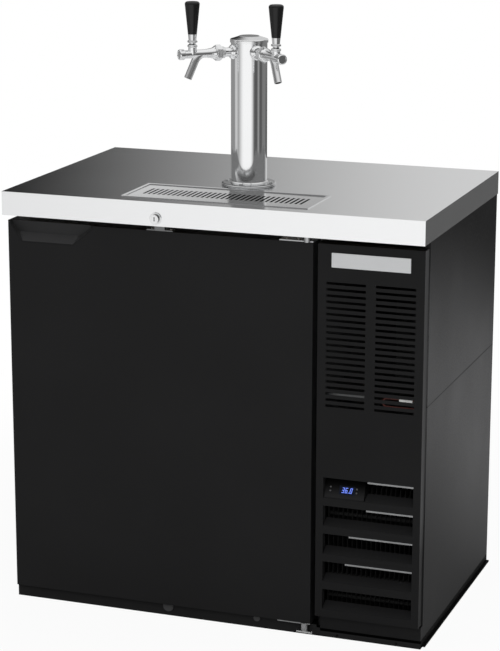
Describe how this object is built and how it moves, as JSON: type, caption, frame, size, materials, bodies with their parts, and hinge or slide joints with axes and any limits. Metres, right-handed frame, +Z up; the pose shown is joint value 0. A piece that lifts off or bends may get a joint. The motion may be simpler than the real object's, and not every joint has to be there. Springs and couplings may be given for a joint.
{
  "type": "draft beer cooler",
  "caption": "Free-standing draft beer cooler with a black door, louvred machine panel, steel counter with drip tray, and a polished tower with taps and black handles.",
  "frame": {"origin": "On the floor, under the middle of the whole object's box.", "axes": "+X to the right seen from the front, +Y to the back, +Z up; the door and the taps face -Y."},
  "size_m": [0.923, 0.604, 1.295],
  "materials": {
    "steel_counter": "satin stainless sheet",
    "black_paint": "matt black powder coat",
    "chrome": "polished plating",
    "zinc_sheet": "dull bright sheet",
    "foam": "rigid foam",
    "board": "plain filler board",
    "gasket_rubber": "soft vinyl",
    "black_plastic": "fine grain",
    "black_gloss": "polished",
    "grey_plastic": "smooth",
    "white_plastic": "smooth",
    "red_cover": "smooth",
    "display_glass": "dark window with lit figures",
    "dark_casting": "black lacquer",
    "brass_valve": "turned"
  },
  "bodies": {
    "cabinet": {"base_frame": "black_paint", "rail_plugs": "grey_plastic", "kick_plate": "black_paint", "cabinet_shell": "black_paint", "insulation": "foam", "cabinet_liner": "zinc_sheet", "counter_top": "steel_counter", "counter_core": "board", "drip_tray": "steel_counter", "drain_spud": "zinc_sheet", "grille_panel": "black_paint", "louvre_vanes": "black_paint", "louvre_rails": "zinc_sheet", "badge_plate": "steel_counter", "case_screws": "chrome", "controller_housing": "black_plastic", "controller_display": "display_glass", "compressor": "dark_casting", "condenser_coil": "black_paint", "fan_shroud": "black_paint", "fan_motor": "dark_casting", "evaporator_coil": "zinc_sheet", "evaporator_cover": "zinc_sheet", "evaporator_motor": "dark_casting", "service_shelf": "zinc_sheet", "terminal_block": "white_plastic", "red_lead": "red_cover", "hinge_brackets": "zinc_sheet", "lock_barrel": "chrome", "tower_column": "chrome", "tower_cap": "chrome", "tap_escutcheons": "chrome", "tap_nuts": "chrome", "tap_shank_left": "chrome", "tap_body_left": "chrome", "tap_bonnet_left": "chrome", "tap_shank_right": "chrome", "tap_body_right": "chrome", "tap_bonnet_right": "chrome"},
    "door": {"door_skin": "black_paint", "door_insulation": "foam", "door_liner": "zinc_sheet", "door_gasket": "gasket_rubber", "door_hinge_plates": "zinc_sheet", "strike_plate": "zinc_sheet", "handle_cup": "black_plastic"},
    "lever_left": {"tap_lever_left": "chrome", "tap_handle_left": "black_gloss"},
    "lever_right": {"tap_lever_right": "chrome", "tap_handle_right": "black_gloss"},
    "plunger_left": {"tap_plunger_left": "brass_valve"},
    "plunger_right": {"tap_plunger_right": "brass_valve"},
    "lock": {"lock_plug": "chrome"},
    "grate": {"drip_grate": "steel_counter"},
    "fan": {"fan_blade": "zinc_sheet"},
    "cold_fan": {"evaporator_blade": "black_plastic"},
    "key_1": {"button_1": "grey_plastic"},
    "key_2": {"button_2": "grey_plastic"},
    "key_3": {"button_3": "grey_plastic"},
    "key_4": {"button_4": "grey_plastic"}
  },
  "joints": [
    {"name": "door_hinge", "type": "hinge", "parent": "cabinet", "child": "door", "pos_m": [0.207, -0.27005, 0.434], "axis": [0, 0, 1], "range_deg": [0, 120]},
    {"name": "tap_lever_left_tilt", "type": "hinge", "parent": "cabinet", "child": "lever_left", "pos_m": [-0.09122, -0.13427, 1.197], "axis": [0.7071, -0.7071, 0], "range_deg": [0, 30]},
    {"name": "tap_plunger_left_slide", "type": "slide", "parent": "cabinet", "child": "plunger_left", "axis": [0.7071, 0.7071, 0], "range_m": [0, 0.0053]},
    {"name": "tap_lever_right_tilt", "type": "hinge", "parent": "cabinet", "child": "lever_right", "pos_m": [0.09122, -0.13427, 1.197], "axis": [0.7071, 0.7071, 0], "range_deg": [0, 30]},
    {"name": "tap_plunger_right_slide", "type": "slide", "parent": "cabinet", "child": "plunger_right", "axis": [-0.7071, 0.7071, 0], "range_m": [0, 0.0053]},
    {"name": "lock_turn", "type": "hinge", "parent": "cabinet", "child": "lock", "pos_m": [-0.111, -0.29405, 0.87], "axis": [0, 1, 0], "range_deg": [0, 90]},
    {"name": "grate_lift", "type": "slide", "parent": "cabinet", "child": "grate", "axis": [0, 0, 1], "range_m": [0, 0.06]},
    {"name": "fan_spin", "type": "hinge", "parent": "cabinet", "child": "fan", "pos_m": [0.3434, -0.19205, 0.1945], "axis": [0, 1, 0], "continuous": true},
    {"name": "cold_fan_spin", "type": "hinge", "parent": "cabinet", "child": "cold_fan", "pos_m": [0.1263, 0.01995, 0.71], "axis": [1, 0, 0], "continuous": true},
    {"name": "key_1_press", "type": "slide", "parent": "cabinet", "child": "key_1", "axis": [0, 0.9037, -0.4281], "range_m": [0, 0.0008], "stiffness_N_per_m": 300},
    {"name": "key_2_press", "type": "slide", "parent": "cabinet", "child": "key_2", "axis": [0, 0.9037, -0.4281], "range_m": [0, 0.0008], "stiffness_N_per_m": 300},
    {"name": "key_3_press", "type": "slide", "parent": "cabinet", "child": "key_3", "axis": [0, 0.9037, -0.4281], "range_m": [0, 0.0008], "stiffness_N_per_m": 300},
    {"name": "key_4_press", "type": "slide", "parent": "cabinet", "child": "key_4", "axis": [0, 0.9037, -0.4281], "range_m": [0, 0.0008], "stiffness_N_per_m": 300}
  ],
  "couplings": [
    {"joint": "tap_plunger_left_slide", "follows": "tap_lever_left_tilt", "m_per_rad": 0.01},
    {"joint": "tap_plunger_right_slide", "follows": "tap_lever_right_tilt", "m_per_rad": 0.01}
  ]
}
